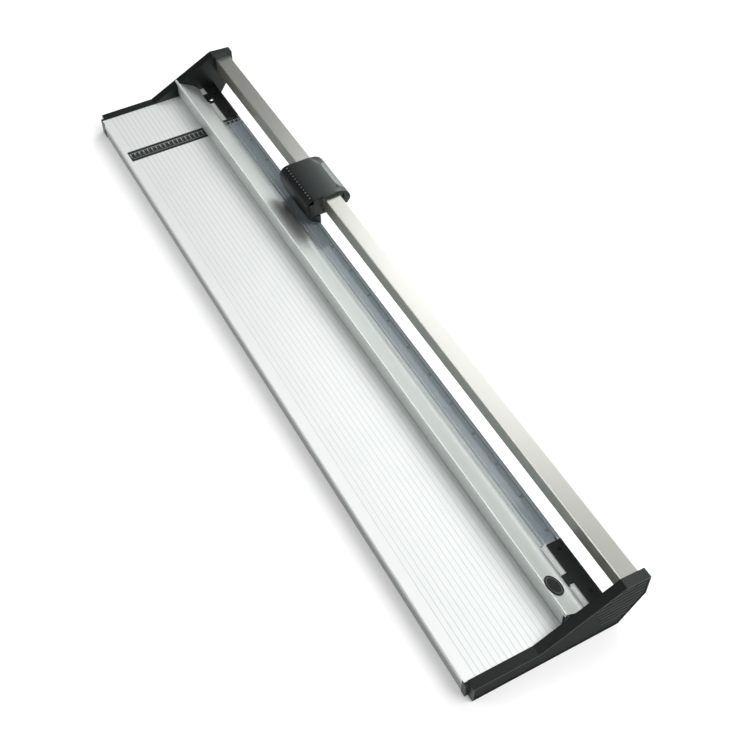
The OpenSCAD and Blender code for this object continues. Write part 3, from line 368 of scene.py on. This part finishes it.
paint(blackAbs, "left_bracket", "right_bracket", "left_corner_cap", "right_corner_cap", "left_end_rest",
      "right_end_rest", "clamp_end_cap", "clamp_guide_blocks", "blade_housing")
paint(hoodAbs, "carriage_hood")
paint(coverAbs, "left_side_cover", "right_side_cover")
paint(badgeAbs, "badge_plug")
paint(saddleAbs, "carriage_saddle")
paint(gripAbs, "grip_inlay")
paint(padAcetal, "glide_pads")
paint(scaleVinyl, "scale_strip")
paint(tableSilver, "baseboard")
paint(barSilver, "clamp_bar")
paint(railSatin, "guide_rail")
paint(plugSilver, "rail_end_plugs")
paint(bladeSteel, "counter_blade", "rotary_blade")
paint(zincSteel, "rail_bolts", "baseboard_bolts", "hood_screws", "housing_screws",
      "blade_axle", "blade_hub", "blade_spring_washer", "left_roller_pin", "right_roller_pin",
      "clamp_guide_pins", "clamp_stop_clips", "clamp_springs")
paint(blackSteel, "end_rest_screws", "counter_blade_screws")
paint(chromedSteel, "tab_stud")
paint(turnedBrass, "clamp_pin_bushes", "blade_bush")
paint(clearSheet, "clear_strip")
paint(footRubber, "rubber_feet")
paint(rollerRubber, "left_press_roller", "right_press_roller")
print("materials done:", len(bpy.data.materials))


# Soft edges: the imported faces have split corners, so they are joined before the bevel; widths in mm

edgeWidths = {
    "left_bracket": 0.9, "right_bracket": 0.9, "left_side_cover": 0.6, "right_side_cover": 0.6,
    "left_corner_cap": 0.5, "right_corner_cap": 0.5, "left_end_rest": 0.5, "right_end_rest": 0.5,
    "baseboard": 0.15, "clamp_bar": 0.4, "clear_strip": 0.2, "badge_plug": 0.3, "clamp_end_cap": 0.3,
    "carriage_hood": 0.6, "carriage_saddle": 0.8, "blade_housing": 0.7, "guide_rail": 0.3}
edgeTool = {"join": 0.01 * mm, "segments": 2, "sharp": 28, "gentle": 20}  # the last two are in degrees

for name, width in edgeWidths.items():
    weld = nodes[name].modifiers.new("join_corners", "WELD")
    weld.merge_threshold = edgeTool["join"]
    bevel = nodes[name].modifiers.new("soft_edges", "BEVEL")
    bevel.width = width * mm
    bevel.segments = edgeTool["segments"]
    bevel.limit_method = "ANGLE"
    bevel.angle_limit = math.radians(edgeTool["sharp"])
    bevel.harden_normals = True


def smoothFacets(name, limit):  # facets that meet under the limit are shaded as one curve
    group = bpy.data.node_groups.new("smooth_facets_" + name, "GeometryNodeTree")
    for way in ("INPUT", "OUTPUT"):
        group.interface.new_socket("Geometry", in_out=way, socket_type="NodeSocketGeometry")
    source = addNode(group, "NodeGroupInput")
    turn = addNode(group, "GeometryNodeInputMeshEdgeAngle")
    gentle = addNode(group, "FunctionNodeCompare",
                     {"data_type": "FLOAT", "operation": "LESS_THAN", 1: math.radians(limit)},
                     {0: turn.outputs[0]})
    faces = addNode(group, "GeometryNodeSetShadeSmooth", {"domain": "FACE", "Shade Smooth": True},
                    {"Geometry": source.outputs[0]})
    edges = addNode(group, "GeometryNodeSetShadeSmooth", {"domain": "EDGE"},
                    {"Geometry": faces.outputs[0], "Shade Smooth": gentle.outputs[0]})
    addNode(group, "NodeGroupOutput", None, {0: edges.outputs[0]})
    nodes[name].modifiers.new("smooth_facets", "NODES").node_group = group


for name in ("carriage_hood", "blade_housing"):
    smoothFacets(name, edgeTool["gentle"])
print("edges done")


# Printed scale: a frame line down each side, a tick every half centimetre, a number every centimetre

scalePrint = {
    "pitch": 10 * mm, "first": 3.7 * mm, "tickLong": 8.5 * mm, "tickShort": 3 * mm, "wideTick": 2.6 * mm,
    "thinTick": 0.9 * mm, "inset": 8.5 * mm, "lineWide": 0.9 * mm, "frameWide": 17 * mm,
    "numberHigh": 5 * mm, "numberGap": 3.5 * mm, "bold": 0.15 * mm}
stripLow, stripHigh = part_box("scale_strip")
half = scalePrint["pitch"] / 2
firstTick = stripLow.y + scalePrint["first"]
count = int((stripHigh.y - firstTick) / half)
tickStart = stripLow.x + scalePrint["inset"]

ticks = bmesh.new()
for i in range(count + 1):
    y = firstTick + i * half
    length = scalePrint["tickShort"] if i % 2 else scalePrint["tickLong"]
    wide = scalePrint["thinTick"] if i % 2 else scalePrint["wideTick"]
    flatBar(ticks, tickStart, tickStart + length, y - wide / 2, y + wide / 2, stripHigh.z)
for x in (tickStart - scalePrint["lineWide"], tickStart + scalePrint["frameWide"]):
    flatBar(ticks, x, x + scalePrint["lineWide"], firstTick, firstTick + count * half, stripHigh.z)
addPiece("scale_ticks", ticks, scaleInk, "frame")

for i in range(count // 2 + 1):
    text = bpy.data.curves.new("scale_number_%02d" % i, "FONT")
    text.body = str(i)
    text.size = scalePrint["numberHigh"]
    text.offset = scalePrint["bold"]
    text.extrude = filmThick
    text.align_x = "CENTER"
    text.align_y = "CENTER"
    number = addObject("scale_number_%02d" % i, text)
    number.location = (tickStart + scalePrint["tickLong"] + scalePrint["numberGap"],
                       firstTick + i * scalePrint["pitch"], stripHigh.z)
    text.materials.append(scaleInk)
    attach(number, "frame")
print("scale done:", count + 1, "ticks")


# Printed index row along the hood's front edge: small crosses on one facet of the rounded front

hoodPrint = {"pitch": 9.6 * mm, "count": 12, "inset": 8 * mm, "size": 4.4 * mm, "stroke": 1.0 * mm,
             "round": 19 * mm, "steps": 8, "facet": 6.5}  # 8 facets, with the row on the seventh


def crossMark(bm, centre, across, up):
    for lean in (1, -1):
        along = (Vector((1, 0, 0)) + across * lean).normalized() * hoodPrint["size"] / 2
        side = along.cross(up).normalized() * hoodPrint["stroke"] / 2
        corners = [centre + along * i + side * j for i, j in ((-1, -1), (1, -1), (1, 1), (-1, 1))]
        thinSlab(bm, corners, up * filmThick)


hoodLow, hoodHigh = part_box("carriage_hood")
step = math.radians(90 / hoodPrint["steps"])
rise = step * hoodPrint["facet"]
up = Vector((0, -math.cos(rise), math.sin(rise)))
across = Vector((0, math.sin(rise), math.cos(rise)))
reach = hoodPrint["round"] * math.cos(step / 2)
marks = bmesh.new()
for i in range(hoodPrint["count"]):
    roundCentre = Vector((hoodLow.x + hoodPrint["inset"] + i * hoodPrint["pitch"],
                          hoodLow.y + hoodPrint["round"], hoodHigh.z - hoodPrint["round"]))
    crossMark(marks, roundCentre + up * reach, across, up)
addPiece("hood_index_marks", marks, hoodInk, "carriage")
print("hood marks done:", hoodPrint["count"])


# Clamp bar: a painted highlight, a thin near-white line along its crest
# the slope's end is the first corner past slopeFrom that lies over a line falling by slopeFall

crestHighlight = {"wide": 1.3 * mm, "lift": 0.03 * mm, "ends": 2 * mm, "slopeFrom": 12 * mm, "slopeFall": 0.5,
              "slopeSlack": 1 * mm}
barLow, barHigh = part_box("clamp_bar")
barCorners = [vertex.co for vertex in nodes["clamp_bar"].data.vertices]
crest = min((c for c in barCorners if c.z > barHigh.z - edgeTool["join"]), key=lambda c: c.y)


def onSlope(corner):
    behind = corner.y - crest.y
    lowest = crest.z - crestHighlight["slopeFall"] * behind - crestHighlight["slopeSlack"]
    return behind > crestHighlight["slopeFrom"] and corner.z > lowest


slopeEnd = min((c for c in barCorners if onSlope(c)), key=lambda c: c.y)
down = Vector((0, slopeEnd.y - crest.y, slopeEnd.z - crest.z)).normalized() * crestHighlight["wide"]
lift = Vector((1, 0, 0)).cross(down).normalized() * crestHighlight["lift"]
left, right = [Vector((x, crest.y, crest.z))
               for x in (barLow.x + crestHighlight["ends"], barHigh.x - crestHighlight["ends"])]
line = bmesh.new()
thinSlab(line, (left, right, right + down, left + down), lift)
addPiece("bar_crest_highlight", line, brightEdge, "clamp")
print("rubbed line done")


# Clear strip: the bar's cemented lip, and a painted highlight line in bar silver, both along the strip's
# front part

stripLines = {"lipWide": 3.8 * mm, "highlightFrom": 7.9 * mm, "highlightWide": 1.5 * mm, "ends": 2 * mm}
sheetLow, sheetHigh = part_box("clear_strip")
for piece, start, wide in (("bar_cemented_lip", 0.0, stripLines["lipWide"]),
                           ("strip_highlight_line", stripLines["highlightFrom"], stripLines["highlightWide"])):
    band = bmesh.new()
    y = barHigh.y + start
    flatBar(band, sheetLow.x + stripLines["ends"], sheetHigh.x - stripLines["ends"], y, y + wide,
            sheetHigh.z)
    addPiece(piece, band, barSilver, "clamp")
print("strip lines done")


# Counter blade: a near-white stripe between two dark ones lies near the cutting edge and shows through the
# clear strip
# each line has its distance from the edge and its width

bladeStripes = {"dark": ((1.6 * mm, 1.4 * mm), (7.3 * mm, 2.0 * mm)), "whitish": ((3.1 * mm, 2.0 * mm),)}
steelLow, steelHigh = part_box("counter_blade")
for kind, finish in (("dark", blackSteel), ("whitish", brightEdge)):
    stripeMesh = bmesh.new()
    for back, wide in bladeStripes[kind]:
        y = steelHigh.y - back
        flatBar(stripeMesh, steelLow.x, steelHigh.x, y - wide, y, steelHigh.z)
    addPiece("blade_%s_lines" % kind, stripeMesh, finish, "frame")
print("blade lines done")


# Badge: a raised rim round the bare oval face

badgeRim = {"outer": 0.93, "inner": 0.80, "high": 0.12 * mm, "sides": 48, "sameWay": 0.999}


def badgeFace():  # centre, two half axes and normal of the plug's visible face
    mesh = nodes["badge_plug"].data
    top = max(mesh.polygons, key=lambda face: face.area * max(face.normal.z, 0))
    flat = [face for face in mesh.polygons if face.normal.dot(top.normal) > badgeRim["sameWay"]
            and abs((face.center - top.center).dot(top.normal)) < edgeTool["join"]]
    corners = [mesh.vertices[i].co for face in flat for i in face.vertices]
    centre = Vector([(min(c[k] for c in corners) + max(c[k] for c in corners)) / 2 for k in range(3)])
    along = Vector((1, 0, 0)) * max(abs((c - centre).x) for c in corners)
    slope = top.normal.cross(Vector((1, 0, 0))).normalized()
    return centre, along, slope * max(abs((c - centre).dot(slope)) for c in corners), top.normal


centre, along, slope, normal = badgeFace()
turns = [2 * math.pi * i / badgeRim["sides"] for i in range(badgeRim["sides"])]
rim = bmesh.new()
rows = []
for share, raised in (("outer", 0), ("outer", 1), ("inner", 1), ("inner", 0)):
    rows.append([rim.verts.new(centre + (along * math.cos(t) + slope * math.sin(t)) * badgeRim[share]
                               + normal * badgeRim["high"] * raised) for t in turns])
for k in range(len(rows)):
    nextRow = rows[(k + 1) % len(rows)]
    for i in range(badgeRim["sides"]):
        j = (i + 1) % badgeRim["sides"]
        rim.faces.new([rows[k][i], rows[k][j], nextRow[j], nextRow[i]])
bmesh.ops.recalc_face_normals(rim, faces=rim.faces)
addPiece("badge_rim", rim, rimAbs, "clamp")
print("badge rim done")


# Studio: a pale floor and soft panels

paperFloor = {"reach": 9.0, "drop": 0.5 * mm, "fibre": 2.5, "dark": "#e4e4e4", "light": "#e8e8e8",
              "lift": 0.30}  # fibre is in mm, drawn coarse


def studioFloor():
    bm = bmesh.new()
    reach = paperFloor["reach"]
    quarters = ((-1, -1), (1, -1), (1, 1), (-1, 1))
    flatFace(bm, [(x * reach, y * reach, -paperFloor["drop"]) for x, y in quarters])
    floor = addObject("studio_floor", meshFrom("studio_floor", bm))
    material, tree, place = startMaterial("matt_paper_floor")
    fibre = addNode(tree, "ShaderNodeTexNoise", {"Scale": 1 / (paperFloor["fibre"] * mm), "Detail": 2.0},
                    {"Vector": place})
    tone = addNode(tree, "ShaderNodeMix",
                   {"data_type": "RGBA", 6: linear(paperFloor["dark"]), 7: linear(paperFloor["light"])},
                   {0: fibre.outputs["Fac"]})
    matt = addNode(tree, "ShaderNodeBsdfDiffuse", None, {"Color": tone.outputs[2]})
    # the camera, and what metal and clear sheet show, see the paper lifted to white
    ray = addNode(tree, "ShaderNodeLightPath")
    mirrored = addNode(tree, "ShaderNodeMath", {"operation": "MAXIMUM"},
                       {0: ray.outputs["Is Glossy Ray"], 1: ray.outputs["Is Transmission Ray"]})
    seen = addNode(tree, "ShaderNodeMath", {"operation": "MAXIMUM"},
                   {0: ray.outputs["Is Camera Ray"], 1: mirrored.outputs[0]})
    lift = addNode(tree, "ShaderNodeMath", {"operation": "MULTIPLY", 1: paperFloor["lift"]},
                   {0: seen.outputs[0]})
    glow = addNode(tree, "ShaderNodeEmission", None, {"Strength": lift.outputs[0]})
    both = addNode(tree, "ShaderNodeAddShader", None, {0: matt.outputs[0], 1: glow.outputs[0]})
    addNode(tree, "ShaderNodeOutputMaterial", None, {"Surface": both.outputs[0]})
    floor.data.materials.append(material)


panels = {
    "key_panel": {"place": (-1.9, 1.4, 2.7), "size": (1.3, 1.6), "watts": 6.8},
    "side_panel": {"place": (1.9, 1.3, 2.9), "size": (2.2, 2.4), "watts": 94},
    "loft_panel": {"place": (-0.9, 2.9, 2.9), "size": (2.6, 1.8), "watts": 28},
    "left_panel": {"place": (-2.8, 3.0, 2.6), "size": (2.0, 1.6), "watts": 66},
    "back_panel": {"place": (-0.8, 3.2, 0.9), "size": (4.0, 1.8), "watts": 40},
    "front_panel": {"place": (-1.2, -2.7, 2.2), "size": (2.4, 1.6), "watts": 38},
}
lampAim = (0, 0, 0.06)
studioAir = {"colour": "#ffffff", "dimAt": -0.6, "brightAt": 0.4, "dim": 0.05, "bright": 0.29}


def studioLights():
    aim = Vector(lampAim)
    for name, panel in panels.items():
        lamp = bpy.data.lights.new(name, "AREA")
        lamp.shape = "RECTANGLE"
        lamp.size, lamp.size_y = panel["size"]
        lamp.energy = panel["watts"]
        holder = addObject(name, lamp)
        holder.location = panel["place"]
        holder.rotation_euler = (aim - holder.location).to_track_quat("-Z", "Y").to_euler()


def studioWorld():
    world = bpy.data.worlds.new("studio_air")
    bpy.context.scene.world = world
    world.use_nodes = True
    tree = world.node_tree
    tree.nodes.clear()
    # the room is dark on the side of the table's front edge
    toward = addNode(tree, "ShaderNodeTexCoord")
    axes = addNode(tree, "ShaderNodeSeparateXYZ", None, {0: toward.outputs["Generated"]})
    level = addNode(tree, "ShaderNodeMapRange",
                    {"From Min": studioAir["dimAt"], "From Max": studioAir["brightAt"],
                     "To Min": studioAir["dim"], "To Max": studioAir["bright"]},
                    {"Value": axes.outputs["Y"]})
    air = addNode(tree, "ShaderNodeBackground", {"Color": linear(studioAir["colour"])},
                  {"Strength": level.outputs[0]})
    addNode(tree, "ShaderNodeOutputWorld", None, {"Surface": air.outputs[0]})


# Camera, worked out from the photograph's straight edges; angles in degrees, lens and sensor in mm

cameraView = {"place": (1.4316, -0.6872, 1.7652), "azimuth": 61.152, "down": 50.27, "roll": -0.111,
              "lens": 57.62, "sensor": 36.0, "near": 0.05}


def photoCamera():
    turn, down, roll = (math.radians(cameraView[k]) for k in ("azimuth", "down", "roll"))
    right = Vector((math.cos(turn), math.sin(turn), 0))
    back = Vector((math.sin(turn) * math.cos(down), -math.cos(turn) * math.cos(down), math.sin(down)))
    up = back.cross(right)
    side = math.cos(roll) * right + math.sin(roll) * up
    head = math.cos(roll) * up - math.sin(roll) * right
    lens = bpy.data.cameras.new("photo_camera")
    lens.lens = cameraView["lens"]
    lens.sensor_width = cameraView["sensor"]
    lens.clip_start = cameraView["near"]
    camera = addObject("photo_camera", lens)
    rows = [(side[i], head[i], back[i], cameraView["place"][i]) for i in range(3)]
    camera.matrix_world = Matrix(rows + [(0, 0, 0, 1)])
    bpy.context.scene.camera = camera


studioFloor()
studioLights()
studioWorld()
photoCamera()
bpy.context.scene.view_settings.view_transform = "Standard"
print("studio and camera done")
